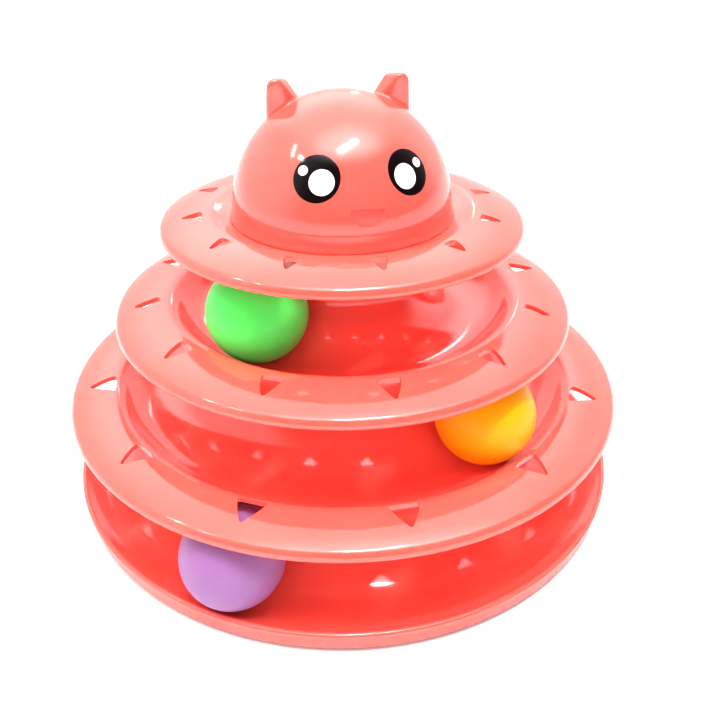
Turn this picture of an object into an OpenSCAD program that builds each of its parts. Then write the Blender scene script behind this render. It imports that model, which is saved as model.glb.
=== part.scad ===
// Ball track tower for a cat: a dish-shaped base and two tiers, each a ring
// track round a hub, closed by a plate that carries a domed cat head.
// The tower's axis is Z, it stands on Z = 0 and its face looks toward -Y.
// Left and right are those of a person who looks at the face.

/* [Balls and tracks] */
// Diameter of each ball
ball_d = 40; // [38:0.5:41]
// How much wider than the ball the track's curve is, on its radius
track_play = 2.5; // [2:0.1:3]
// Wall thickness of the hollow balls
ball_wall = 1.8; // [1.2:0.1:3]
// Gap between a ball and the floor of its track
ball_gap = 0.3; // [0.1:0.1:0.5]
// How far outside the dome the upper tier's ball runs
track_margin = 7.9; // [7.4:0.1:9]
// How much further out the lower tier's ball runs
tier_2_step = 27.7; // [26.5:0.1:29]
// How much further out than that the base's ball runs
tier_1_step = 26.2; // [25:0.1:27.5]

/* [Heights] */
// Gap between the base's ball and the lower tier's track above it
tier_1_headroom = 1; // [0.8:0.1:5]
// Gap between the lower tier's ball and the upper tier's track above it
tier_2_headroom = 3.9; // [2:0.1:7]
// Height of the top plate's crest above the upper tier's ball
top_headroom = 9.7; // [7:0.1:14]

/* [Shells] */
// Wall thickness of every moulded shell
wall = 2; // [1.6:0.1:2.4]
// Gap between a tier and the deck that it is set down on
seat_gap = 0.3; // [0.2:0.1:0.5]
// Radial play between a spigot and the socket that slips over it
fit_gap = 0.3; // [0.2:0.1:0.5]
// Inward lean of the hub walls, in degrees
hub_draft = 5; // [3:0.5:7]
// Radius of the edge where a hub wall meets its deck
deck_edge_r = 2.5; // [2.4:0.1:4]
// Height of the spigots that locate each tier on the one below
spigot_h = 7; // [5:0.5:7.5]
// How far a socket stands in from the inner edge of its track
socket_inset = 2.5; // [2:0.1:3.5]
// How far the spigot that locates the top plate stands in from its track's edge
top_spigot_inset = 8.8; // [8:0.1:12]

/* [Base rim] */
// How far the base reaches past the middle of its track, over its rolled lip
base_reach = 17.1; // [16.3:0.1:17.8]
// Radius of the rolled lip's curve
lip_r = 1.25; // [1:0.05:1.5]
// How far the skirt stands in under the lip
skirt_step = 1.2; // [0.8:0.1:1.4]

/* [Flanges] */
// Width of the lower tier's flange, outward from its crest's centre
tier_1_flange_w = 16.7; // [16.3:0.1:18]
// Width of the upper tier's flange, outward from its crest's centre
tier_2_flange_w = 20.1; // [19.2:0.1:21.5]
// Width of the top plate's flange, outward from its crest's centre
top_flange_w = 24; // [23.2:0.1:25.5]
// How steep a flange has become where its edge rolls down, in degrees
edge_slope = 22; // [20:0.5:24]
// Radius of a flange's rolled-down edge
edge_r = 3.5; // [3:0.1:4]
// Radius of the crest between a track and its flange
crest_r = 9; // [8:0.2:10]
// How steeply the track meets the crest, in degrees from level
crest_angle = 37.9; // [36:0.1:40]

/* [Flange holes] */
// Number of holes in each flange
hole_count = 12; // [8:1:12]
// Angle that one hole spans at its wide, inner edge, in degrees
hole_angle = 6.4; // [5:0.1:8]
// How far the tiers' rings of holes are turned from the front, in degrees
tier_hole_turn = -1; // [-5:0.5:5]
// Distance from a hole's apex out to the flange's edge
hole_margin = 8.4; // [7.5:0.1:9.5]
// Radial length of a hole in the lower tier
tier_1_hole_len = 11; // [8:0.2:11.4]
// Radial length of a hole in the upper tier
tier_2_hole_len = 10.6; // [7:0.2:11]
// Radial length of a hole in the top plate
top_hole_len = 9.2; // [6:0.2:10]
// Radius of a hole's corners
hole_corner_r = 0.9; // [0.6:0.1:1.1]
// How much each side of a hole bows out, in degrees at its ends
hole_bow = 8; // [4:1:12]

/* [Top plate] */
// Distance from the dome out to the top plate's crest
top_crest_margin = 6; // [5.7:0.1:7]
// Radius of the top plate's crest
top_crest_curve = 4; // [3.4:0.1:4.1]
// Depth of the head's seat below the crest
seat_drop = 4; // [3:0.1:4.5]
// Height of the ring that locates the head
ring_h = 4; // [3:0.2:5]

/* [Head] */
// Radius of the dome
dome_r = 45.4; // [44.5:0.1:46]
// Height of the dome's centre above the head's seat
dome_lift = 3.4; // [2.5:0.1:4.5]
// How far the rim flares out past the dome
rim_flare = 1.1; // [0.6:0.1:1.3]
// Height of the rim's upright edge
rim_edge_h = 0.9; // [0.5:0.1:1.5]

/* [Ears] */
// Distance of an ear's front tip from the middle of the head
ear_tip_x = 24.9; // [23:0.1:26]
// Height of the ears above the top of the dome
ear_rise = 4.8; // [3:0.2:7]
// Radius of the front tip
ear_tip_r = 3.6; // [3:0.1:4]
// How far the back tip lies nearer the middle than the front tip
ear_back_shift = 2.7; // [1.5:0.1:3.5]
// How much lower the back tip is
ear_back_drop = 0.8; // [0.2:0.1:1.5]
// How far the flat front of an ear lies behind the axis
ear_front_y = 2.1; // [1:0.1:4]
// Thickness of an ear, front to back
ear_depth = 8; // [6:0.2:10]
// How far an ear's front widens toward the middle at its root
ear_front_spread = 4.2; // [2:0.2:6]
// How far an ear's back widens toward the middle at its root
ear_back_spread = 13; // [9:0.5:14]
// How far an ear widens outward at its root
ear_outer_spread = 0.6; // [0.2:0.1:1]

/* [Face] */
// Radius of an eye disc
eye_r = 8.8; // [7.5:0.1:9.5]
// Thickness of an eye disc
eye_t = 0.75; // [0.5:0.05:0.9]
// Depth of the recess that an eye disc lies in
eye_recess = 0.6; // [0.4:0.05:0.7]
// Clearance round and behind an eye disc
eye_gap = 0.05; // [0.02:0.01:0.1]
// Turn of each eye from the middle of the face, in degrees
eye_turn = 26.1; // [23:0.5:29]
// Height angle of the eyes above the dome's centre, in degrees
eye_lift = 30.3; // [28:0.5:33]
// Width of the mouth
mouth_w = 12.6; // [10:0.2:14]
// Height angle of the mouth's straight upper edge, in degrees
mouth_lift = 16.7; // [15:0.5:18]
// How far above that edge the mouth's floor would run out, in degrees
mouth_fade = 0.8; // [0.4:0.1:1.2]
// Height angle at which the mouth's flat floor faces forward, in degrees
mouth_floor_lift = 3; // [2:0.5:4]

/* [Feet] */
// Number of rubber feet
foot_count = 6; // [6:1:6]
// Radius of a foot
foot_r = 7; // [6:0.2:7.5]
// Height of a foot, which is the base's height off the floor
foot_h = 2.2; // [1.8:0.1:3]
// How deep a foot is let into its seat
foot_recess = 1; // [0.6:0.1:1.2]
// Bevel round the underside of a foot
foot_bevel = 0.4; // [0.2:0.1:0.5]
// Width of the rim round a foot
foot_seat_rim = 1.2; // [0.8:0.1:1.4]
// Radial play round a foot in its seat
foot_play = 0.1; // [0.05:0.05:0.2]

/* [Balls at rest] */
// Where the base's ball lies, in degrees round the axis
ball_base_angle = -125.7; // [-180:0.1:180]
// Where the lower tier's ball lies, in degrees round the axis
ball_tier_1_angle = -59.1; // [-180:0.1:180]
// Where the upper tier's ball lies, in degrees round the axis
ball_tier_2_angle = -141.4; // [-180:0.1:180]

/* [Hidden] */
$fn = 96;
// How far a chord between neighbouring points of an arc may lie inside it
arc_sag = 0.03;
// How far cutting tools run past what they cut
overrun = 1;

ball_r = ball_d / 2;
arc_r = ball_r + track_play;
tier_2_track_r = dome_r + track_margin;
tier_1_track_r = tier_2_track_r + tier_2_step;
base_track_r = tier_1_track_r + tier_1_step;
top_spigot_r = tier_2_track_r - arc_r - top_spigot_inset;
top_crest_r = dome_r + top_crest_margin;

// Outer radii of the base, the two flanges and the top plate
base_rim_r = base_track_r + base_reach;
tier_1_rim_r = crest_at_r(tier_1_track_r) + tier_1_flange_w;
tier_2_rim_r = crest_at_r(tier_2_track_r) + tier_2_flange_w;
top_rim_r = top_crest_r + top_flange_w;

// Heights of the three track floors, of the decks and of the head's seat
base_floor_z = foot_h + wall;
tier_1_floor_z = base_floor_z + rise(tier_1_step, tier_1_headroom);
tier_2_floor_z = tier_1_floor_z + rise(tier_2_step, tier_2_headroom);
head_seat_z = tier_2_floor_z + ball_gap + ball_d + top_headroom - seat_drop;
base_deck_z = tier_1_floor_z - wall - seat_gap;
tier_1_deck_z = tier_2_floor_z - wall - seat_gap;
tier_2_deck_z = head_seat_z - wall - seat_gap;

dome_z = head_seat_z + dome_lift;
ear_tip_z = dome_z + dome_r + ear_rise;
// Height of the ears' roots, as a share of the dome's radius, inside its wall
ear_root_share = 0.7;
ear_root_z = dome_z + dome_r * ear_root_share;
// Depth of the thin front and back slices that an ear spans
ear_slice = ear_depth / 16;

// Centre of the curve that a track follows, as [radius, height]
function track_centre(track_r, floor_z) = [track_r, floor_z + arc_r];

// Radius of the crest's centre outside a track
function crest_at_r(track_r) = track_r + (arc_r + crest_r) * cos(crest_angle);

// Height of a track's floor above the one below it, which lies a step further
// out, so that the ball there keeps its headroom under this track's wall
function rise(step, headroom) =
    sqrt((arc_r + wall + headroom + ball_r) ^ 2 - step ^ 2) + ball_gap - track_play;

// A unit vector at an angle
function unit(angle) = [cos(angle), sin(angle)];

// Points along an arc; first = 1 leaves out its first point
function arc(centre, r, from, to, first = 0) =
    let (
        step = 2 * acos(1 - arc_sag / r),
        steps = max(2, ceil(abs(to - from) / step)))
    [for (i = [first : steps]) centre + r * unit(from + (to - from) * i / steps)];

// Radius of a hub's outer face at height z
function hub_face_r(tc, z) =
    tc.x - arc_r * cos(hub_draft) - (z - tc.y + arc_r * sin(hub_draft)) * tan(hub_draft);

// Centre of the rounded edge between a hub and its deck
function deck_edge_centre(tc, deck_z) =
    [hub_face_r(tc, deck_z - deck_edge_r) - deck_edge_r / cos(hub_draft), deck_z - deck_edge_r];

// Upper face of a track, from its outer end at angle -outer in to the deck's middle
function track_top(tc, deck_z, outer, first) = concat(
    arc(tc, arc_r, -outer, hub_draft - 180, first),
    arc(deck_edge_centre(tc, deck_z), deck_edge_r, hub_draft, 90),
    [[0, deck_z]]);

// Lower face of a track, from the deck's middle out to angle -outer
function track_bottom(tc, deck_z, outer) = concat(
    [[0, deck_z - wall]],
    arc(deck_edge_centre(tc, deck_z), deck_edge_r - wall, 90, hub_draft),
    arc(tc, arc_r + wall, hub_draft - 180, -outer));

// A flange outside a crest centred on cc: from the crest's underside, along one
// long curve and round the rolled-down edge, back to the top of the crest
function flange(cc, curve_r, rim_r) =
    let (
        long_r = (rim_r - cc.x - edge_r * (1 - sin(edge_slope))) / sin(edge_slope),
        long_centre = [cc.x, cc.y + curve_r - long_r],
        roll_angle = 90 - edge_slope,
        roll_centre = long_centre + (long_r - edge_r) * unit(roll_angle),
        end_centre = roll_centre + [edge_r - wall / 2, 0])
    concat(
        arc(long_centre, long_r - wall, 90, roll_angle, 1),
        arc(roll_centre, edge_r - wall, roll_angle, 0, 1),
        arc(end_centre, wall / 2, -180, 0, 1),
        arc(roll_centre, edge_r, 0, roll_angle, 1),
        arc(long_centre, long_r, roll_angle, 90, 1));

// Height halfway through a track's wall at radius r
function mid_wall_z(tc, r) = tc.y - sqrt((arc_r + wall / 2) ^ 2 - (r - tc.x) ^ 2);

// Inner radius of the socket under a track
function socket_r(track_r) = track_r - arc_r + socket_inset;

// Section of a tier's shell: track, crest, flange and hub in one wall
module tier_section(track_r, floor_z, deck_z, rim_r) {
    tc = track_centre(track_r, floor_z);
    cc = tc + (arc_r + crest_r) * unit(-crest_angle);
    polygon(concat(
        arc(cc, crest_r, 90, 180 - crest_angle, 1),
        track_top(tc, deck_z, crest_angle, 1),
        track_bottom(tc, deck_z, crest_angle),
        arc(cc, crest_r - wall, 180 - crest_angle, 90, 1),
        flange(cc, crest_r, rim_r)));
}

// Section of the socket ring under a track, rooted halfway into its wall
module socket_section(track_r, floor_z) {
    tc = track_centre(track_r, floor_z);
    inner = socket_r(track_r);
    outer = inner + wall;
    polygon([
        [inner, floor_z - wall],
        [outer, floor_z - wall],
        [outer, mid_wall_z(tc, outer)],
        [inner, mid_wall_z(tc, inner)]]);
}

// Section of a spigot ring that stands on a deck, with a bevelled lead-in
module spigot_section(outer_r, deck_z) {
    inner_r = outer_r - wall;
    bevel = wall / 4;
    top_z = deck_z + spigot_h;
    polygon([
        [inner_r, deck_z - wall / 2],
        [outer_r, deck_z - wall / 2],
        [outer_r, top_z - bevel],
        [outer_r - bevel, top_z],
        [inner_r + bevel, top_z],
        [inner_r, top_z - bevel]]);
}

// Outline of one flange hole: a rounded triangle with bowed sides, its flat
// side inward at x = 0 and its apex outward at x = len
module hole_outline(len, w) {
    corners = [
        [hole_corner_r, hole_corner_r - w / 2],
        [len - hole_corner_r, 0],
        [hole_corner_r, w / 2 - hole_corner_r]];
    points = [for (i = [0 : 2])
        let (
            here = corners[i],
            before = here - corners[(i + 2) % 3],
            after = corners[(i + 1) % 3] - here,
            turn_in = atan2(before.y, before.x) - 90,
            turn_out = atan2(after.y, after.x) - 90,
            sweep = (turn_out - turn_in + 720) % 360)
        each concat(
            arc(here, hole_corner_r, turn_in + hole_bow, turn_in + sweep - hole_bow),
            bow_point(here, corners[(i + 1) % 3], turn_out))];
    polygon(points);
}

// Point in the middle of the bowed side between two corner centres
function bow_point(a, b, normal_angle) =
    let (
        bow_r = norm(b - a) / 2 / sin(hole_bow),
        centre = (a + b) / 2 - unit(normal_angle) * bow_r * cos(hole_bow))
    [centre + (bow_r + hole_corner_r) * unit(normal_angle)];

// Ring of hole cutters through a flange, turned from the front
module flange_holes(rim_r, len, turn, bottom_z, top_z) {
    inner_r = rim_r - hole_margin - len;
    for (i = [0 : hole_count - 1])
        rotate([0, 0, i * 360 / hole_count - 90 + turn])
            translate([inner_r, 0, bottom_z])
                linear_extrude(top_z - bottom_z)
                    hole_outline(len, 2 * inner_r * tan(hole_angle / 2));
}

// A tier: its shell, its socket below and its spigot above
module tier(track_r, floor_z, deck_z, rim_r, spigot_r, hole_len) {
    crest_top_z = floor_z + arc_r - (arc_r + crest_r) * sin(crest_angle) + crest_r;
    difference() {
        rotate_extrude() {
            tier_section(track_r, floor_z, deck_z, rim_r);
            socket_section(track_r, floor_z);
            spigot_section(spigot_r, deck_z);
        }
        flange_holes(rim_r, hole_len, tier_hole_turn, floor_z, crest_top_z + overrun);
    }
}

// Angle at which the base's track meets its rolled lip
lip_angle = acos((base_rim_r - lip_r - base_track_r) / (arc_r + lip_r));
skirt_r = base_rim_r - skirt_step;

// Section of the base: track, rolled lip, skirt and hub in one wall
module base_section() {
    tc = track_centre(base_track_r, base_floor_z);
    lc = tc + (arc_r + lip_r) * unit(-lip_angle);
    skirt_inner_angle = acos((skirt_r - wall - tc.x) / (arc_r + wall));
    polygon(concat(
        arc(lc, lip_r, -acos((skirt_r - lc.x) / lip_r), 180 - lip_angle),
        track_top(tc, base_deck_z, lip_angle, 1),
        track_bottom(tc, base_deck_z, skirt_inner_angle),
        [[skirt_r - wall, foot_h], [skirt_r, foot_h]]));
}

foot_seat_r = foot_r + foot_play + foot_seat_rim;

// Places each child at one foot, numbered from 0
module at_foot(number) {
    rotate([0, 0, (number + 0.5) * 360 / foot_count])
        translate([base_track_r, 0, 0])
            children();
}

module base_tray() {
    tc = track_centre(base_track_r, base_floor_z);
    seat_bottom_z = foot_h - foot_recess;
    seat_root_z = (tc.y - sqrt((arc_r + wall) ^ 2 - foot_seat_r ^ 2) + base_floor_z) / 2;
    color("lightcoral")
        difference() {
            union() {
                rotate_extrude() {
                    base_section();
                    spigot_section(socket_r(tier_1_track_r) - fit_gap, base_deck_z);
                }
                for (i = [0 : foot_count - 1])
                    at_foot(i)
                        translate([0, 0, seat_bottom_z])
                            cylinder(h = seat_root_z - seat_bottom_z, r = foot_seat_r);
            }
            for (i = [0 : foot_count - 1])
                at_foot(i)
                    translate([0, 0, seat_bottom_z - overrun])
                        cylinder(h = foot_recess + overrun, r = foot_r + foot_play);
        }
}

module tier_1() {
    color("lightcoral")
        tier(tier_1_track_r, tier_1_floor_z, tier_1_deck_z, tier_1_rim_r,
             socket_r(tier_2_track_r) - fit_gap, tier_1_hole_len);
}

module tier_2() {
    color("lightcoral")
        tier(tier_2_track_r, tier_2_floor_z, tier_2_deck_z, tier_2_rim_r,
             top_spigot_r, tier_2_hole_len);
}

// Section of the top plate: flange, crest, the head's seat with its locating
// ring, and the cup in the middle that slips over the upper tier's spigot
module top_section() {
    cc = [top_crest_r, head_seat_z + seat_drop - top_crest_curve];
    seat = [dome_r + rim_flare + fit_gap, head_seat_z];
    to_seat = seat - cc;
    seat_turn = (atan2(to_seat.y, to_seat.x) + 360) % 360;
    dip_angle = seat_turn - acos(top_crest_curve / norm(to_seat));
    under = cc + (top_crest_curve - wall) * unit(dip_angle);
    under_z = head_seat_z - wall;
    ring_r = dome_r - wall - fit_gap;
    ring_z = head_seat_z + ring_h;
    cup_r = top_spigot_r + fit_gap;
    cup_z = tier_2_deck_z + spigot_h + seat_gap;
    polygon(concat(
        arc(cc, top_crest_curve, 90, dip_angle, 1),
        [seat,
         [ring_r, head_seat_z],
         [ring_r, ring_z],
         [ring_r - wall, ring_z],
         [ring_r - wall, head_seat_z],
         [cup_r + wall, head_seat_z],
         [cup_r + wall, cup_z + wall],
         [0, cup_z + wall],
         [0, cup_z],
         [cup_r, cup_z],
         [cup_r, under_z],
         [under.x + (under.y - under_z) * tan(dip_angle), under_z]],
        arc(cc, top_crest_curve - wall, dip_angle, 90),
        flange(cc, top_crest_curve, top_rim_r)));
}

module top_plate() {
    color("lightcoral")
        difference() {
            rotate_extrude()
                top_section();
            flange_holes(top_rim_r, top_hole_len, 0, tier_2_deck_z - crest_r,
                         head_seat_z + seat_drop + overrun);
        }
}

// Dome of the head, solid, with its flared rim
module dome() {
    rim_r = dome_r + rim_flare;
    rotate_extrude()
        polygon(concat(
            [[0, head_seat_z], [rim_r, head_seat_z], [rim_r, head_seat_z + rim_edge_h]],
            [for (p = arc([0, dome_z], dome_r, 0, 90)) [max(0, p.x), p.y]]));
}

// One thin slice of the right ear, upright and square to the face
module ear_slice(y, tip_x, tip_z, spread) {
    root_in = tip_x - ear_tip_r - spread;
    root_out = ear_tip_x + ear_tip_r + ear_outer_spread;
    translate([0, y + ear_slice, 0])
        rotate([90, 0, 0])
            linear_extrude(ear_slice)
                hull() {
                    translate([tip_x, tip_z - ear_tip_r])
                        circle(r = ear_tip_r, $fn = 32);
                    translate([root_in, ear_root_z])
                        square([root_out - root_in, ear_slice]);
                }
}

// The right ear: flat in front, wider and leaning to the middle at the back
module ear() {
    hull() {
        ear_slice(ear_front_y, ear_tip_x, ear_tip_z, ear_front_spread);
        ear_slice(ear_front_y + ear_depth - ear_slice, ear_tip_x - ear_back_shift,
                  ear_tip_z - ear_back_drop, ear_back_spread - ear_back_shift);
    }
}

// Places each child on the dome's centre with +Z out along a direction
module toward(turn, lift) {
    translate([0, 0, dome_z])
        rotate([0, 90 - lift, turn - 90])
            children();
}

// Cutter for the mouth: a half disc with a flat floor that runs out at the
// upper edge and is deepest along the lower lip
module mouth_cutter() {
    floor_r = dome_r * cos(mouth_lift + mouth_fade - mouth_floor_lift);
    edge = dome_r * sin(mouth_lift - mouth_floor_lift);
    toward(0, mouth_floor_lift)
        translate([-edge, 0, floor_r])
            linear_extrude(dome_r - floor_r + overrun)
                intersection() {
                    circle(d = mouth_w);
                    translate([0, -mouth_w / 2])
                        square([mouth_w / 2, mouth_w]);
                }
}

// Cutter for the recess of one eye
module eye_recess_cutter(turn) {
    difference() {
        toward(turn, eye_lift)
            cylinder(h = dome_r + overrun, r = eye_r + eye_gap);
        translate([0, 0, dome_z])
            sphere(r = dome_r - eye_recess);
    }
}

module head() {
    inner_r = dome_r - wall;
    color("lightcoral")
        difference() {
            union() {
                dome();
                ear();
                mirror([1, 0, 0])
                    ear();
            }
            translate([0, 0, dome_z])
                sphere(r = inner_r);
            translate([0, 0, head_seat_z - overrun])
                cylinder(h = dome_lift + overrun, r = inner_r);
            mouth_cutter();
            eye_recess_cutter(-eye_turn);
            eye_recess_cutter(eye_turn);
        }
}

// An eye: a thin black disc that follows the dome
module eye(turn) {
    back_r = dome_r - eye_recess + eye_gap;
    color("black")
        difference() {
            intersection() {
                toward(turn, eye_lift)
                    cylinder(h = dome_r + overrun, r = eye_r);
                translate([0, 0, dome_z])
                    sphere(r = back_r + eye_t);
            }
            translate([0, 0, dome_z])
                sphere(r = back_r);
        }
}

module left_eye() {
    eye(-eye_turn);
}

module right_eye() {
    eye(eye_turn);
}

// A hollow ball in its track
module ball(track_r, floor_z, angle) {
    rotate([0, 0, angle])
        translate([track_r, 0, floor_z + ball_gap + ball_r])
            difference() {
                sphere(r = ball_r);
                sphere(r = ball_r - ball_wall);
            }
}

module ball_base() {
    color("plum")
        ball(base_track_r, base_floor_z, ball_base_angle);
}

module ball_tier_1() {
    color("gold")
        ball(tier_1_track_r, tier_1_floor_z, ball_tier_1_angle);
}

module ball_tier_2() {
    color("lightgreen")
        ball(tier_2_track_r, tier_2_floor_z, ball_tier_2_angle);
}

// A rubber foot with a bevelled underside
module foot(number) {
    color("dimgray")
        at_foot(number)
            rotate_extrude()
                polygon([
                    [0, 0],
                    [foot_r - foot_bevel, 0],
                    [foot_r, foot_bevel],
                    [foot_r, foot_h],
                    [0, foot_h]]);
}

base_tray();
tier_1();
tier_2();
top_plate();
head();
left_eye();
right_eye();
ball_base();
ball_tier_1();
ball_tier_2();
foot(0);  // foot_1
foot(1);  // foot_2
foot(2);  // foot_3
foot(3);  // foot_4
foot(4);  // foot_5
foot(5);  // foot_6
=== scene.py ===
import math

import bmesh
import bpy
from mathutils import Matrix, Vector


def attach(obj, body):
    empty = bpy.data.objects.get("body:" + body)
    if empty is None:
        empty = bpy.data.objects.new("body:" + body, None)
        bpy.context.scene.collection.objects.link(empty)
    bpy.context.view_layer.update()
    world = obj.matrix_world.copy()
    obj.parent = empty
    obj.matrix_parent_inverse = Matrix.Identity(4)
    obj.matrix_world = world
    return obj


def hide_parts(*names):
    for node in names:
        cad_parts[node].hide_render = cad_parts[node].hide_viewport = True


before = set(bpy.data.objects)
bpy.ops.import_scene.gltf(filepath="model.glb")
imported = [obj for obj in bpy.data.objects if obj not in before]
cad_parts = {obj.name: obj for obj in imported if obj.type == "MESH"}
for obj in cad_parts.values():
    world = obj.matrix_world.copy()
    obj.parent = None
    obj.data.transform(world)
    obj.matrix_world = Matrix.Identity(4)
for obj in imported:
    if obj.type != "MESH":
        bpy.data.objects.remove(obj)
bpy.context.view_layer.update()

# Sizes are in millimetres and angles in degrees, the same as the solids have. Only the top
# plate's crest and holes, the head's rim and the mouth follow the photograph more closely.
MM = 0.001
TURN_STEPS = 240
WALL = 2.0
SOFT_EDGE = 0.35

# Balls, and the tracks that they run in
BALL_R, BALL_WALL, BALL_GAP = 20.0, 1.8, 0.3
CURVE_R = 22.5
BASE_TRACK_R, TIER_1_TRACK_R, TIER_2_TRACK_R = 107.2, 81.0, 53.3
BASE_FLOOR_Z, TIER_1_FLOOR_Z, TIER_2_FLOOR_Z = 4.2, 39.2, 76.69

# Hubs, with their decks and spigots
BASE_DECK_Z, TIER_1_DECK_Z, TIER_2_DECK_Z = 36.9, 74.39, 120.39
DRAFT = 5.0
DECK_EDGE_R = 2.5
SPIGOT_H = 7.0
SOCKET_STEP = 2.5

# Flanges, from the crest beside the track to the rolled-down edge. In the sections, tc is
# the centre of a track's curve and cc the centre of a crest's.
CREST_R, CREST_ANGLE = 9.0, 37.9
TOP_CREST_R = 8.0
EDGE_SLOPE, EDGE_R = 22.0, 3.5

# Feet, as tall as the gap under the base's skirt
FOOT_R, FOOT_H = 7.0, 2.2

# Head
SEAT_Z = 122.69
DOME_R, DOME_Z = 45.4, 126.09
RIM_R = DOME_R + 1.1
EAR_TIP_X, EAR_TIP_R, EAR_TIP_Z = 24.9, 3.6, 176.28
EAR_FRONT_Y, EAR_DEPTH, EAR_EDGE_R = 2.1, 8.0, 1.7
EAR_ROOT_Z = DOME_Z + DOME_R * 0.7
EYE_R, EYE_PROUD = 8.8, 0.12
EYE_TURN, EYE_LIFT = 26.1, 30.3


def unit(angle):
    """A unit vector in a section, as (x, z)."""
    return Vector((math.cos(math.radians(angle)), math.sin(math.radians(angle))))


class Section:
    """A line in the XZ plane, drawn point by point in millimetres."""

    def __init__(self, x, z):
        self.bm = bmesh.new()
        self.tip = self.bm.verts.new((x * MM, 0, z * MM))

    def line(self, x, z):
        """Draws a straight run to a point."""
        made = bmesh.ops.extrude_vert_indiv(self.bm, verts=[self.tip])
        self.tip = made["verts"][0]
        self.tip.co = (x * MM, 0, z * MM)

    def path(self, *points):
        """Draws straight runs through points."""
        for point in points:
            self.line(*point)

    def arc(self, centre, r, start, end, step=4.0):
        """Draws an arc between two angles, with a straight run to its start."""
        centre = Vector(centre)
        self.line(*(centre + r * unit(start)))
        made = bmesh.ops.spin(
            self.bm, geom=[self.tip], cent=(centre.x * MM, 0, centre.y * MM), axis=(0, -1, 0),
            angle=math.radians(end - start), steps=max(2, math.ceil(abs(end - start) / step)))
        self.tip = next(g for g in made["geom_last"] if isinstance(g, bmesh.types.BMVert))

    def turned(self, steps=TURN_STEPS):
        """Turns the line round the Z axis into a closed skin."""
        bmesh.ops.spin(
            self.bm, geom=self.bm.verts[:] + self.bm.edges[:], cent=(0, 0, 0), axis=(0, 0, 1),
            angle=math.tau, steps=steps, use_merge=True)
        bmesh.ops.remove_doubles(self.bm, verts=self.bm.verts[:], dist=0.002 * MM)
        bmesh.ops.recalc_face_normals(self.bm, faces=self.bm.faces[:])
        return self.bm


def piece(name, bm, smooth_angle=32.0):
    """Makes an object of a bmesh, with edges sharper than an angle kept sharp."""
    mesh = bpy.data.meshes.new(name)
    bm.to_mesh(mesh)
    bm.free()
    mesh.polygons.foreach_set("use_smooth", [True] * len(mesh.polygons))
    mesh.set_sharp_from_angle(angle=math.radians(smooth_angle))
    made = bpy.data.objects.new(name, mesh)
    bpy.context.collection.objects.link(made)
    return made


def settle(obj):
    """Makes what an object's modifiers give its own mesh."""
    graph = bpy.context.evaluated_depsgraph_get()
    mesh = bpy.data.meshes.new_from_object(obj.evaluated_get(graph))
    obj.modifiers.clear()
    obj.data = mesh


def cut(obj, cutter_bm):
    """Cuts the shape of a bmesh out of an object."""
    cutter = piece("cutter", cutter_bm)
    boolean = obj.modifiers.new("cut", "BOOLEAN")
    boolean.object, boolean.operation, boolean.solver = cutter, "DIFFERENCE", "EXACT"
    settle(obj)
    bpy.data.objects.remove(cutter)


def soften(obj):
    """Rounds an object's sharp edges off."""
    bevel = obj.modifiers.new("edges", "BEVEL")
    bevel.width, bevel.segments = SOFT_EDGE * MM, 2
    bevel.limit_method, bevel.angle_limit = "ANGLE", math.radians(35)
    bevel.harden_normals = True
    bevel.use_clamp_overlap = True


def join(bm, other):
    """Adds one bmesh to another."""
    mesh = bpy.data.meshes.new("joined")
    other.to_mesh(mesh)
    other.free()
    bm.from_mesh(mesh)
    bpy.data.meshes.remove(mesh)


def hub_face_r(tc, z):
    """Radius of a hub's outer face at a height."""
    return (tc.x - CURVE_R * math.cos(math.radians(DRAFT))
            - (z - tc.y + CURVE_R * math.sin(math.radians(DRAFT)))
            * math.tan(math.radians(DRAFT)))


def deck_edge(tc, deck_z):
    """Centre of the rounded edge between a hub and its deck."""
    z = deck_z - DECK_EDGE_R
    return Vector((hub_face_r(tc, z) - DECK_EDGE_R / math.cos(math.radians(DRAFT)), z))


def start_at_spigot(outer_r, deck_z):
    """Starts a section with a deck and the spigot ring on it."""
    section = Section(0, deck_z)
    inner_r, top_z, bevel = outer_r - WALL, deck_z + SPIGOT_H, WALL / 4
    section.path((inner_r, deck_z), (inner_r, top_z - bevel), (inner_r + bevel, top_z),
                 (outer_r - bevel, top_z), (outer_r, top_z - bevel), (outer_r, deck_z))
    return section


def draw_flange(section, cc, crest_r, rim_r):
    """Draws a flange from its crest's top, round the rolled-down edge and back below.

    It curves down ever more steeply, from level at the crest to the edge's own slope.
    """
    slope = math.sin(math.radians(EDGE_SLOPE))
    long_r = (rim_r - cc.x - EDGE_R * (1 - slope)) / slope
    turn = 90 - EDGE_SLOPE
    long_centre = cc + Vector((0, crest_r - long_r))
    roll_centre = long_centre + (long_r - EDGE_R) * unit(turn)
    section.arc(long_centre, long_r, 90, turn, step=2)
    section.arc(roll_centre, EDGE_R, turn, 0, step=8)
    section.arc(roll_centre + Vector((EDGE_R - WALL / 2, 0)), WALL / 2, 0, -180, step=18)
    section.arc(roll_centre, EDGE_R - WALL, 0, turn, step=12)
    section.arc(long_centre, long_r - WALL, turn, 90, step=3)


def close_under_hub(section, tc, deck_z, start):
    """Draws a track's underside from an angle in to the hub, and on to the axis."""
    section.arc(tc, CURVE_R + WALL, start, DRAFT - 180)
    section.arc(deck_edge(tc, deck_z), DECK_EDGE_R - WALL, DRAFT, 90, step=20)
    section.line(0, deck_z - WALL)


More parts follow.
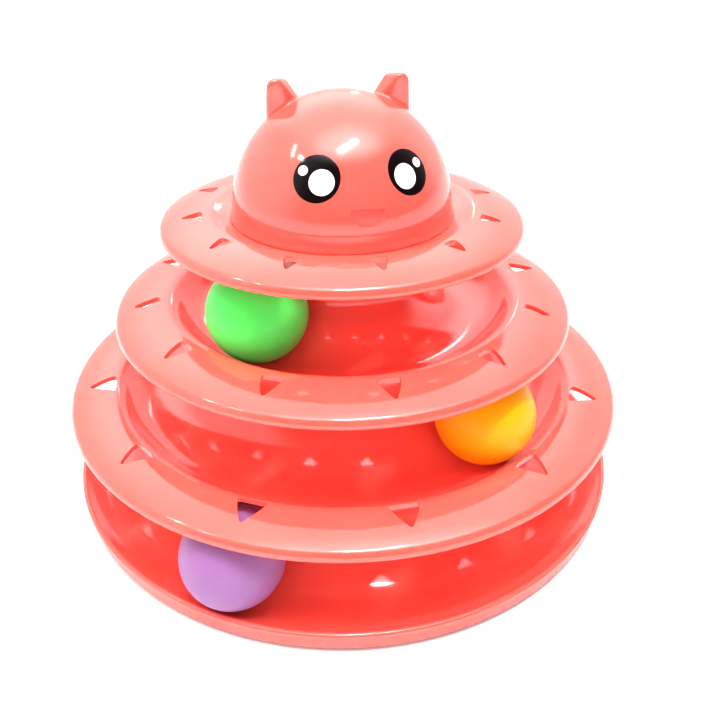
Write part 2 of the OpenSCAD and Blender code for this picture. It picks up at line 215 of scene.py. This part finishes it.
def hole_cutters(rim_r, margin, length, turn, bottom_z, top_z):
    """The ring of twelve rounded triangles that are cut through a flange."""
    count, span, corner_r, bow, corner_steps = 12, 6.4, 0.9, 8.0, 6
    inner_r = rim_r - margin - length
    half_w = inner_r * math.tan(math.radians(span / 2))
    corners = [Vector((corner_r, corner_r - half_w)), Vector((length - corner_r, 0)),
               Vector((corner_r, half_w - corner_r))]
    points = []
    for i, here in enumerate(corners):
        before, after = here - corners[i - 1], corners[(i + 1) % 3] - here
        turn_in = math.degrees(math.atan2(before.y, before.x)) - 90
        turn_out = math.degrees(math.atan2(after.y, after.x)) - 90
        sweep = (turn_out - turn_in) % 360
        for k in range(corner_steps + 1):
            angle = turn_in + bow + (sweep - 2 * bow) * k / corner_steps
            points.append(here + corner_r * unit(angle))
        middle = here + after / 2
        bow_r = after.length / 2 / math.sin(math.radians(bow))
        centre = middle - unit(turn_out) * bow_r * math.cos(math.radians(bow))
        for k in (-0.5, 0, 0.5):
            points.append(centre + (bow_r + corner_r) * unit(turn_out + k * bow))
    bm = bmesh.new()
    ring = [bm.verts.new(((inner_r + p.x) * MM, p.y * MM, bottom_z * MM)) for p in points]
    bm.faces.new(ring)
    made = bmesh.ops.extrude_face_region(bm, geom=bm.faces[:])
    raised = [g for g in made["geom"] if isinstance(g, bmesh.types.BMVert)]
    bmesh.ops.translate(bm, verts=raised, vec=(0, 0, (top_z - bottom_z) * MM))
    bmesh.ops.rotate(bm, verts=bm.verts[:], cent=(0, 0, 0),
                     matrix=Matrix.Rotation(math.radians(turn), 3, "Z"))
    bmesh.ops.recalc_face_normals(bm, faces=bm.faces[:])
    one = bm.verts[:] + bm.edges[:] + bm.faces[:]
    for i in range(1, count):
        copy = bmesh.ops.duplicate(bm, geom=one)["geom"]
        verts = [g for g in copy if isinstance(g, bmesh.types.BMVert)]
        bmesh.ops.rotate(bm, verts=verts, cent=(0, 0, 0),
                         matrix=Matrix.Rotation(i * math.tau / count, 3, "Z"))
    return bm


def make_tier(name, track_r, floor_z, deck_z, rim_r, spigot_r, hole_length):
    """A tier: track, flange with its holes, hub, spigot above and socket below."""
    hole_margin, hole_turn = 8.4, -1
    tc = Vector((track_r, floor_z + CURVE_R))
    cc = tc + (CURVE_R + CREST_R) * unit(-CREST_ANGLE)
    section = start_at_spigot(spigot_r, deck_z)
    section.arc(deck_edge(tc, deck_z), DECK_EDGE_R, 90, DRAFT, step=12)
    section.arc(tc, CURVE_R, DRAFT - 180, -CREST_ANGLE)
    section.arc(cc, CREST_R, 180 - CREST_ANGLE, 90, step=5)
    draw_flange(section, cc, CREST_R, rim_r)
    section.arc(cc, CREST_R - WALL, 90, 180 - CREST_ANGLE, step=8)
    socket_in = track_r - CURVE_R + SOCKET_STEP
    outer_turn = math.degrees(math.acos((track_r - socket_in - WALL) / (CURVE_R + WALL)))
    inner_turn = math.degrees(math.acos((track_r - socket_in) / (CURVE_R + WALL)))
    section.arc(tc, CURVE_R + WALL, -CREST_ANGLE, outer_turn - 180)
    section.path((socket_in + WALL, floor_z - WALL), (socket_in, floor_z - WALL))
    close_under_hub(section, tc, deck_z, inner_turn - 180)
    made = piece(name, section.turned())
    cut(made, hole_cutters(rim_r, hole_margin, hole_length, hole_turn,
                           floor_z, cc.y + CREST_R + 1))
    soften(made)
    return made


def make_base():
    """The base: track, rolled lip, skirt, hub, spigot and the six seats for its feet."""
    rim_r, lip_r, skirt_r, spigot_r = 124.28, 1.25, 123.1, 60.7
    seat_in_r, seat_out_r, seat_low_z, seat_top_z = 7.1, 8.3, 1.2, 3.4
    tc = Vector((BASE_TRACK_R, BASE_FLOOR_Z + CURVE_R))
    lip_angle = math.degrees(math.acos((rim_r - lip_r - tc.x) / (CURVE_R + lip_r)))
    lc = tc + (CURVE_R + lip_r) * unit(-lip_angle)
    skirt_angle = math.degrees(math.acos((skirt_r - WALL - tc.x) / (CURVE_R + WALL)))
    section = start_at_spigot(spigot_r, BASE_DECK_Z)
    section.arc(deck_edge(tc, BASE_DECK_Z), DECK_EDGE_R, 90, DRAFT, step=12)
    section.arc(tc, CURVE_R, DRAFT - 180, -lip_angle)
    section.arc(lc, lip_r, 180 - lip_angle, -math.degrees(math.acos((skirt_r - lc.x) / lip_r)),
                step=14)
    section.path((skirt_r, FOOT_H), (skirt_r - WALL, FOOT_H))
    close_under_hub(section, tc, BASE_DECK_Z, -skirt_angle)
    bm = section.turned()
    for x, y in foot_places():
        seat = Section(seat_in_r, seat_low_z)
        seat.path((seat_out_r, seat_low_z), (seat_out_r, seat_top_z), (seat_in_r, seat_top_z),
                  (seat_in_r, seat_low_z))
        ring = seat.turned(48)
        bmesh.ops.translate(ring, verts=ring.verts[:], vec=(x * MM, y * MM, 0))
        join(bm, ring)
    made = piece("base_shell", bm)
    soften(made)
    return made


def foot_places():
    """Where the six feet stand, as (x, y)."""
    return [BASE_TRACK_R * unit(30 + 60 * i) for i in range(6)]


def make_top():
    """The top plate: flange with holes, crest, the head's seat and ring, and the cup."""
    rim_r, crest_at, crest_h, seat_r = 75.4, 56.0, 3.5, 46.8
    hole_margin, hole_length, hole_turn = 9.4, 8.2, 0
    cc = Vector((crest_at, SEAT_Z + crest_h - TOP_CREST_R))
    to_seat = Vector((seat_r, SEAT_Z)) - cc
    dip = (math.degrees(math.atan2(to_seat.y, to_seat.x))
           - math.degrees(math.acos(TOP_CREST_R / to_seat.length)))
    under_z = SEAT_Z - WALL
    under = cc + (TOP_CREST_R - WALL) * unit(dip)
    ring_r, ring_z = 43.1, SEAT_Z + 4
    cup_r, cup_z = 22.3, 127.7
    section = Section(0, cup_z + WALL)
    section.path((cup_r + WALL, cup_z + WALL), (cup_r + WALL, SEAT_Z), (ring_r - WALL, SEAT_Z),
                 (ring_r - WALL, ring_z), (ring_r, ring_z), (ring_r, SEAT_Z), (seat_r, SEAT_Z))
    section.arc(cc, TOP_CREST_R, dip, 90, step=6)
    draw_flange(section, cc, TOP_CREST_R, rim_r)
    section.arc(cc, TOP_CREST_R - WALL, 90, dip, step=8)
    section.path((under.x + (under.y - under_z) * math.tan(math.radians(dip)), under_z),
                 (cup_r, under_z), (cup_r, cup_z), (0, cup_z))
    made = piece("top_shell", section.turned())
    cut(made, hole_cutters(rim_r, hole_margin, hole_length, hole_turn, SEAT_Z - 14, SEAT_Z + 5))
    soften(made)
    return made


def make_ball(name, track_r, floor_z, angle, seam_tilt):
    """A hollow ball, welded from two halves along a faint seam."""
    seam, seam_half_w, seam_depth = 0.9, 0.25, 0.12
    ball = Section(0, BALL_R)
    ball.arc((0, 0), BALL_R, 90, seam, step=2.5)
    ball.path((BALL_R - seam_depth / 2, seam_half_w), (BALL_R - seam_depth, 0),
              (BALL_R - seam_depth / 2, -seam_half_w))
    ball.arc((0, 0), BALL_R, -seam, -90, step=2.5)
    bm = ball.turned(144)
    hollow = bmesh.new()
    bmesh.ops.create_uvsphere(hollow, u_segments=64, v_segments=32,
                              radius=(BALL_R - BALL_WALL) * MM)
    bmesh.ops.reverse_faces(hollow, faces=hollow.faces[:])
    join(bm, hollow)
    bmesh.ops.rotate(bm, verts=bm.verts[:], cent=(0, 0, 0),
                     matrix=Matrix.Rotation(math.radians(seam_tilt), 3, "X"))
    x, y = track_r * unit(angle)
    bmesh.ops.translate(bm, verts=bm.verts[:],
                        vec=(x * MM, y * MM, (floor_z + BALL_GAP + BALL_R) * MM))
    return piece(name, bm, 60)


def make_foot(name, place):
    """A rubber foot with a rounded edge and two grip grooves underneath."""
    groove_half_w, groove_depth, edge_r = 0.4, 0.35, 0.5
    foot = Section(0, 0)
    for groove_r in (2.2, 4.4):
        foot.path((groove_r - groove_half_w, 0), (groove_r - groove_half_w / 2, groove_depth),
                  (groove_r + groove_half_w / 2, groove_depth), (groove_r + groove_half_w, 0))
    foot.arc((FOOT_R - edge_r, edge_r), edge_r, -90, 0, step=22)
    foot.path((FOOT_R, FOOT_H), (0, FOOT_H))
    bm = foot.turned(64)
    bmesh.ops.translate(bm, verts=bm.verts[:], vec=(place.x * MM, place.y * MM, 0))
    return piece(name, bm)


def add_ear(bm, side):
    """One ear: the hull of its flat front and of its wider, lower back, with rounded edges."""
    outline = []
    faces = ((EAR_FRONT_Y, 1, EAR_TIP_X, EAR_TIP_Z, 4.2),
             (EAR_FRONT_Y + EAR_DEPTH, -1, EAR_TIP_X - 2.7, EAR_TIP_Z - 0.8, 10.3))
    for face_y, inward, tip_x, tip_z, spread in faces:
        for turn in range(0, 91, 15):
            round_in, inset = EAR_EDGE_R * (Vector((1, 1)) - unit(turn))
            y = face_y + inward * round_in
            made = bmesh.ops.create_circle(bm, segments=48,
                                           radius=(EAR_TIP_R - inset) * MM)["verts"]
            bmesh.ops.rotate(bm, verts=made, cent=(0, 0, 0),
                             matrix=Matrix.Rotation(math.pi / 2, 3, "X"))
            bmesh.ops.translate(bm, verts=made,
                                vec=(side * tip_x * MM, y * MM, (tip_z - EAR_TIP_R) * MM))
            outline += made
            for x in (tip_x - EAR_TIP_R - spread + inset, EAR_TIP_X + EAR_TIP_R + 0.6 - inset):
                outline.append(bm.verts.new((side * x * MM, y * MM, EAR_ROOT_Z * MM)))
    bmesh.ops.convex_hull(bm, input=outline)
    bmesh.ops.delete(bm, geom=[e for e in bm.edges if not e.link_faces], context="EDGES")


def step_up(value, low, high):
    """0 below low, 1 above high and a smooth rise between."""
    t = min(1.0, max(0.0, (value - low) / (high - low)))
    return t * t * (3 - 2 * t)


def press_mouth(bm, centre):
    """Presses the mouth in: a half disc with a straight upper edge and a flat floor."""
    lift = math.radians(10.0)
    out = Vector((0, -math.cos(lift), math.sin(lift)))
    up = Vector((0, math.sin(lift), math.cos(lift)))
    edge, half_w, floor, margin = 4.9 * MM, 6.6 * MM, 43.75 * MM, 0.8 * MM

    def by_mouth(v):
        """Whether a point is in the mouth or just beside it."""
        ray = v.co - centre
        return (ray.dot(out) > 0.9 * floor and abs(v.co.x) < half_w + margin
                and -margin < edge - ray.dot(up) < half_w + margin)

    for _ in range(2):
        edges = [e for e in bm.edges if by_mouth(e.verts[0]) and by_mouth(e.verts[1])]
        bmesh.ops.subdivide_edges(bm, edges=edges, cuts=1, use_grid_fill=True)
    near = [v for v in bm.verts if by_mouth(v)]
    for v in near:
        ray = v.co - centre
        v.co = centre + ray.normalized() * DOME_R * MM
        ray = v.co - centre
        across, height, depth = v.co.x, ray.dot(up), ray.dot(out)
        inside = min(edge - height, half_w - math.hypot(across, height - edge))
        v.co += out * (floor - depth) * step_up(inside, -0.1 * MM, 0.4 * MM)


def make_head():
    """The head: dome, ears blended into it, mouth, flared rim and hollow inside."""
    centre = Vector((0, 0, DOME_Z * MM))
    bm = bmesh.new()
    bmesh.ops.create_uvsphere(bm, u_segments=192, v_segments=96, radius=DOME_R * MM,
                              matrix=Matrix.Translation(centre))
    for side in (-1, 1):
        ear = bmesh.new()
        add_ear(ear, side)
        bmesh.ops.recalc_face_normals(ear, faces=ear.faces[:])
        join(bm, ear)
    head = piece("head_shell", bm)
    remesh = head.modifiers.new("one skin", "REMESH")
    remesh.mode, remesh.voxel_size = "VOXEL", 0.55 * MM
    settle(head)

    # The ears' roots are smoothed, and the rest of the dome is put back on its true round
    bm = bmesh.new()
    bm.from_mesh(head.data)
    near_ears = [v for v in bm.verts
                 if 4.5 * MM < abs(v.co.x) < 33 * MM and -1.5 * MM < v.co.y < 14 * MM
                 and v.co.z > 154 * MM]
    for _ in range(3):
        bmesh.ops.smooth_vert(bm, verts=near_ears, factor=0.5,
                              use_axis_x=True, use_axis_y=True, use_axis_z=True)
    for v in bm.verts:
        ray = v.co - centre
        proud = ray.length - DOME_R * MM
        kept = step_up(proud, 0.05 * MM, 0.3 * MM)
        v.co = centre + ray.normalized() * (DOME_R * MM + proud * kept)
    press_mouth(bm, centre)

    # The dome is cut level and drawn on: down to its flared rim, round it and up inside
    cut_z = DOME_Z + 2.9
    bmesh.ops.bisect_plane(bm, geom=bm.verts[:] + bm.edges[:] + bm.faces[:], dist=0.01 * MM,
                           plane_co=(0, 0, cut_z * MM), plane_no=(0, 0, 1), clear_inner=True)
    ring = [e for e in bm.edges if e.is_boundary]
    inner_r = DOME_R - WALL
    rows = [(45.55, 127.4), (45.75, 126.1), (46.0, 125.0), (46.25, 124.1),
            (RIM_R, 123.3), (RIM_R, 122.9), (RIM_R - 0.2, SEAT_Z),
            (inner_r + 0.2, SEAT_Z), (inner_r, 122.9), (inner_r, DOME_Z)]
    rows += [tuple(Vector((0, DOME_Z)) + inner_r * unit(a)) for a in range(6, 90, 6)]
    for r, z in rows:
        made = bmesh.ops.extrude_edge_only(bm, edges=ring)["geom"]
        ring = [g for g in made if isinstance(g, bmesh.types.BMEdge)]
        for v in (g for g in made if isinstance(g, bmesh.types.BMVert)):
            flat = Vector((v.co.x, v.co.y, 0)).normalized() * r
            v.co = (flat.x * MM, flat.y * MM, z * MM)
    bmesh.ops.contextual_create(bm, geom=ring)
    bmesh.ops.recalc_face_normals(bm, faces=bm.faces[:])
    bm.to_mesh(head.data)
    bm.free()
    head.data.polygons.foreach_set("use_smooth", [True] * len(head.data.polygons))
    head.data.set_sharp_from_angle(angle=math.radians(50))
    return head


def dome_point(turn, lift, r=DOME_R):
    """A point on the dome, in metres, turned from the face's middle and lifted."""
    t, a = math.radians(turn), math.radians(lift)
    return Vector((r * math.cos(a) * math.sin(t), -r * math.cos(a) * math.cos(t),
                   DOME_Z + r * math.sin(a))) * MM


def make_eye(name, side):
    """A thin disc that follows the dome, with a rounded rim."""
    face_r, back_r, rim = DOME_R + EYE_PROUD, DOME_R - 0.55, 0.2
    cap = math.degrees(math.asin((EYE_R - rim) / (face_r - rim)))
    eye = Section(0, back_r)
    eye.arc((0, 0), back_r, 90, 90 - math.degrees(math.asin(EYE_R / back_r)), step=1)
    eye.arc(tuple((face_r - rim) * unit(90 - cap)), rim, 0, 90 - cap, step=15)
    eye.arc((0, 0), face_r, 90 - cap, 90, step=1)
    bm = eye.turned(128)
    centre = Vector((0, 0, DOME_Z * MM))
    aim = dome_point(side * EYE_TURN, EYE_LIFT) - centre
    place = Matrix.Translation(centre) @ aim.to_track_quat("Z", "Y").to_matrix().to_4x4()
    bmesh.ops.transform(bm, matrix=place, verts=bm.verts[:])
    return piece(name, bm, 50)


# Where a Mix node of colours gives its result
MIXED = 2


def linear(code):
    """Turns an sRGB hex colour into the linear one that a shader takes."""
    parts = [int(code[i:i + 2], 16) / 255 for i in (1, 3, 5)]
    return tuple(c / 12.92 if c <= 0.04045 else ((c + 0.055) / 1.055) ** 2.4
                 for c in parts) + (1.0,)


def node(tree, kind, values=None, links=None, **settings):
    """Adds a shader node with its settings, fixed inputs and links."""
    made = tree.nodes.new("ShaderNode" + kind)
    for key, value in settings.items():
        setattr(made, key, value)
    for key, value in (values or {}).items():
        made.inputs[key].default_value = value
    for key, source in (links or {}).items():
        tree.links.new(source, made.inputs[key])
    return made


def new_material(name):
    """An empty node material, with its tree and the place to read from."""
    made = bpy.data.materials.new(name)
    made.use_nodes = True
    tree = made.node_tree
    tree.nodes.clear()
    place = node(tree, "TexCoord").outputs["Object"]
    return made, tree, place


def grains(size, detail, rough=0.5):
    """Settings for a noise whose grains are about as wide as a size in millimetres."""
    return {"Scale": 1 / (size * MM), "Detail": detail, "Roughness": rough}


def between(low, high):
    """Settings that spread a noise between two values."""
    return {"From Min": 0.3, "From Max": 0.7, "To Min": low, "To Max": high}


def bump(depth):
    """Settings for a relief of a depth in millimetres."""
    return {"Strength": 1.0, "Distance": depth * MM}


def moulded(name, colour, deep, gloss, shine, scatter, radius, ripple, grain):
    """Moulded plastic: a faint swirl of pigment, handling marks in the gloss, a rippled skin.

    Light scatters a few millimetres under the skin, which the radius gives for each of red,
    green and blue. The grain is drawn 0.5 mm wide, because the real one is too fine to show.
    """
    made, tree, place = new_material(name)
    swirl = node(tree, "TexNoise", grains(28, 3), {"Vector": place}).outputs["Fac"]
    share = node(tree, "MapRange", between(0.0, 1.0), {"Value": swirl}).outputs["Result"]
    tint = node(tree, "Mix", {"A": linear(colour), "B": linear(deep)}, {"Factor": share},
                data_type="RGBA").outputs[MIXED]
    marks = node(tree, "TexNoise", grains(3.5, 4, 0.6), {"Vector": place}).outputs["Fac"]
    rough = node(tree, "MapRange", between(gloss * 0.8, gloss * 1.3),
                 {"Value": marks}).outputs["Result"]
    waves = node(tree, "TexNoise", grains(14, 1), {"Vector": place}).outputs["Fac"]
    rippled = node(tree, "Bump", bump(ripple), {"Height": waves}).outputs["Normal"]
    pores = node(tree, "TexNoise", grains(0.5, 2), {"Vector": place}).outputs["Fac"]
    skin = node(tree, "Bump", bump(grain), {"Height": pores, "Normal": rippled}).outputs["Normal"]
    shader = node(tree, "BsdfPrincipled",
                  {"IOR": 1.49, "Specular IOR Level": shine, "Subsurface Weight": scatter,
                   "Subsurface Radius": radius, "Subsurface Scale": MM},
                  {"Base Color": tint, "Roughness": rough, "Normal": skin})
    node(tree, "OutputMaterial", links={"Surface": shader.outputs["BSDF"]})
    return made


def printed_eye(name, side):
    """Printed plastic film: glossy black ink with two white spots left in it."""
    made, tree, place = new_material(name)
    mask, fade = None, 0.04
    for turn, lift, r in ((-3.0, -1.7, 4.75), (8.0, 3.0, 1.85)):
        spot = dome_point(side * (EYE_TURN + turn), EYE_LIFT + lift, DOME_R + EYE_PROUD)
        far = node(tree, "VectorMath", {1: spot}, {0: place}, operation="DISTANCE")
        inside = node(tree, "MapRange",
                      {"From Min": (r + fade) * MM, "From Max": (r - fade) * MM},
                      {"Value": far.outputs["Value"]}).outputs["Result"]
        mask = inside if mask is None else node(
            tree, "Math", links={0: mask, 1: inside}, operation="MAXIMUM").outputs[0]
    ink = node(tree, "Mix", {"A": linear("#0d0506"), "B": linear("#fdfbf8")}, {"Factor": mask},
               data_type="RGBA").outputs[MIXED]
    marks = node(tree, "TexNoise", grains(2, 3), {"Vector": place}).outputs["Fac"]
    rough = node(tree, "MapRange", between(0.08, 0.14), {"Value": marks}).outputs["Result"]
    waves = node(tree, "TexNoise", grains(8, 1), {"Vector": place}).outputs["Fac"]
    skin = node(tree, "Bump", bump(0.02), {"Height": waves}).outputs["Normal"]
    shader = node(tree, "BsdfPrincipled", {"IOR": 1.49, "Specular IOR Level": 0.3},
                  {"Base Color": ink, "Roughness": rough, "Normal": skin})
    node(tree, "OutputMaterial", links={"Surface": shader.outputs["BSDF"]})
    return made


def rubber(name):
    """Moulded rubber: nearly black, with a dusty, finely pitted skin."""
    made, tree, place = new_material(name)
    dust = node(tree, "TexNoise", grains(2.5, 4), {"Vector": place}).outputs["Fac"]
    share = node(tree, "MapRange", between(0.0, 1.0), {"Value": dust}).outputs["Result"]
    tint = node(tree, "Mix", {"A": linear("#2b2a2a"), "B": linear("#3d3b3a")},
                {"Factor": share}, data_type="RGBA").outputs[MIXED]
    pits = node(tree, "TexNoise", grains(0.4, 2), {"Vector": place}).outputs["Fac"]
    skin = node(tree, "Bump", bump(0.03), {"Height": pits}).outputs["Normal"]
    shader = node(tree, "BsdfPrincipled", {"IOR": 1.52, "Roughness": 0.7},
                  {"Base Color": tint, "Normal": skin})
    node(tree, "OutputMaterial", links={"Surface": shader.outputs["BSDF"]})
    return made


def place_piece(obj, body, material, cad_node):
    """Puts a finished piece on its body, in place of its solid."""
    obj.data.materials.clear()
    obj.data.materials.append(material)
    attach(obj, body)
    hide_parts(cad_node)


# Polypropylene from a polished mould: a clean gloss, and a body so lightly pigmented that
# hollows glow a deeper red
coral = moulded("moulded_polypropylene_coral", "#ff6155", "#fe5c50", gloss=0.1, shine=0.8,
                scatter=0.7, radius=(2.6, 0.5, 0.3), ripple=0.04, grain=0.004)

place_piece(make_base(), "base", coral, "base_tray")
place_piece(make_tier("lower_tier_shell", TIER_1_TRACK_R, TIER_1_FLOOR_Z, TIER_1_DECK_Z, 122.5,
                      33.0, 11.0), "lower_tier", coral, "tier_1")
place_piece(make_tier("upper_tier_shell", TIER_2_TRACK_R, TIER_2_FLOOR_Z, TIER_2_DECK_Z, 98.2,
                      22.0, 10.6), "upper_tier", coral, "tier_2")
place_piece(make_top(), "top_cover", coral, "top_plate")
place_piece(make_head(), "top_cover", coral, "head")
for side, word in ((-1, "left"), (1, "right")):
    place_piece(make_eye(word + "_eye_disc", side), "top_cover",
                printed_eye("printed_black_" + word, side), word + "_eye")

# Polyethylene from a plain mould: a waxy satin with a soft edge to its shadows
balls = (
    ("purple", "ball_base", BASE_TRACK_R, BASE_FLOOR_Z, -125.7, "#9b6ba1", "#96659c", 70),
    ("yellow", "ball_tier_1", TIER_1_TRACK_R, TIER_1_FLOOR_Z, -59.1, "#f4aa01", "#f2a401", 40),
    ("green", "ball_tier_2", TIER_2_TRACK_R, TIER_2_FLOOR_Z, -141.4, "#5aec64", "#55e85f", 55))
for word, cad_node, track_r, floor_z, angle, colour, deep, tilt in balls:
    place_piece(
        make_ball(word + "_ball_shell", track_r, floor_z, angle, tilt), word + "_ball",
        moulded("moulded_polyethylene_" + word, colour, deep, gloss=0.42, shine=0.3,
                scatter=0.5, radius=(4.0, 1.5, 0.6), ripple=0.03, grain=0.012),
        cad_node)

foot_rubber = rubber("moulded_rubber")
for i, place in enumerate(foot_places(), 1):
    place_piece(make_foot("rubber_foot_%d" % i, place), "base", foot_rubber,
                "foot_%d" % i)


def make_camera():
    """The photograph's camera, worked out from the ellipses of the tiers."""
    turned, lift, far, aim_z, yaw, roll = -12.5, 31.203, 0.35344, 0.051687, 0.925, -0.601
    a = math.radians(lift)
    eye = Vector((0, -far * math.cos(a), aim_z + far * math.sin(a)))
    turn = Matrix.Rotation(math.radians(turned), 4, "Z")
    made = bpy.data.objects.new("camera", bpy.data.cameras.new("camera"))
    made.data.lens, made.data.sensor_width = 38.19, 36
    made.data.clip_start, made.data.clip_end = 0.01, 50
    made.matrix_world = (turn @ Matrix.Translation(eye)
                         @ Matrix.Rotation(math.radians(90 - lift), 4, "X")
                         @ Matrix.Rotation(math.radians(-yaw), 4, "Y")
                         @ Matrix.Rotation(math.radians(roll), 4, "Z"))
    bpy.context.collection.objects.link(made)
    bpy.context.scene.camera = made


def toward(turn, lift):
    """A direction, turned from +X and lifted above the floor."""
    t, a = math.radians(turn), math.radians(lift)
    return Vector((math.cos(a) * math.cos(t), math.cos(a) * math.sin(t), math.sin(a)))


def softbox(name, start, end, far, width, watts, glints=True):
    """A strip light between two directions, seen from the dome's middle."""
    middle = Vector((0, 0, DOME_Z * MM))
    a, b = (middle + far * toward(*d) for d in (start, end))
    light = bpy.data.lights.new(name, "AREA")
    light.shape, light.size, light.size_y = "RECTANGLE", (b - a).length, width
    light.energy = watts
    back = ((a + b) / 2 - middle).normalized()
    along = (b - a).normalized()
    side = back.cross(along).normalized()
    along = side.cross(back)
    made = bpy.data.objects.new(name, light)
    made.matrix_world = Matrix.Translation((a + b) / 2) @ Matrix(
        (along, side, back)).transposed().to_4x4()
    made.visible_glossy = glints
    bpy.context.collection.objects.link(made)


def make_floor():
    """A plain white floor."""
    bm = bmesh.new()
    bmesh.ops.create_circle(bm, cap_ends=True, segments=96, radius=6)
    floor = piece("floor", bm)
    made, tree, place = new_material("white_floor")
    clouds = node(tree, "TexNoise", grains(60, 2), {"Vector": place}).outputs["Fac"]
    tint = node(tree, "Mix", {"A": linear("#f8f8f8"), "B": linear("#f5f5f5")},
                {"Factor": clouds}, data_type="RGBA").outputs[MIXED]
    shader = node(tree, "BsdfPrincipled", {"Roughness": 0.6, "Specular IOR Level": 0.2},
                  {"Base Color": tint})
    node(tree, "OutputMaterial", links={"Surface": shader.outputs["BSDF"]})
    floor.data.materials.append(made)


def make_world():
    """A light tent: bright overhead, white round the sides and the back, dark low in front.

    The dark part is where the photographer stands.
    """
    made = bpy.data.worlds.new("studio")
    made.use_nodes = True
    tree = made.node_tree
    tree.nodes.clear()
    ray = node(tree, "TexCoord").outputs["Generated"]

    def along(direction, low, high, start, end):
        """A level that changes smoothly as a ray turns towards a direction."""
        near = node(tree, "VectorMath", {1: direction}, {0: ray},
                    operation="DOT_PRODUCT").outputs["Value"]
        return node(tree, "MapRange", {"From Min": low, "From Max": high, "To Min": start,
                                       "To Max": end}, {"Value": near},
                    interpolation_type="SMOOTHSTEP").outputs["Result"]

    roof = along(toward(77, 81), 0.72, 0.92, 0.0, 1.0)
    roof_level = along(toward(-85, 62), 0.70, 0.96, 2.3, 6.2)
    wall_level = along(toward(-75, 0), -0.15, 0.45, 1.3, 0.1)
    back_level = along(toward(85, 48), 0.80, 0.98, 0.0, 1.6)
    sides = node(tree, "Math", links={0: wall_level, 1: back_level}, operation="ADD").outputs[0]
    level = node(tree, "Mix", links={"Factor": roof, "A": sides, "B": roof_level},
                 data_type="FLOAT").outputs[0]
    light = node(tree, "Background", {"Color": (1, 1, 1, 1)}, {"Strength": level})
    node(tree, "OutputWorld", links={"Surface": light.outputs["Background"]})
    bpy.context.scene.world = made


make_camera()
make_floor()
softbox("key_strip", (-108, 69.4), (-44, 75), 1.3, 0.06, 12)
softbox("left_strip", (178, 45.7), (164.6, 52.3), 1.3, 0.05, 1.0)
softbox("back_left_strip", (-175, 50.5), (-166.8, 50.4), 1.3, 0.06, 1)
softbox("back_strip", (72.5, 17), (72.5, 22), 1.3, 0.05, 0.15)
softbox("front_fill", (-135, 22), (-70, 22), 1.6, 0.8, 9, glints=False)
make_world()
bpy.context.scene.view_settings.view_transform = "Standard"
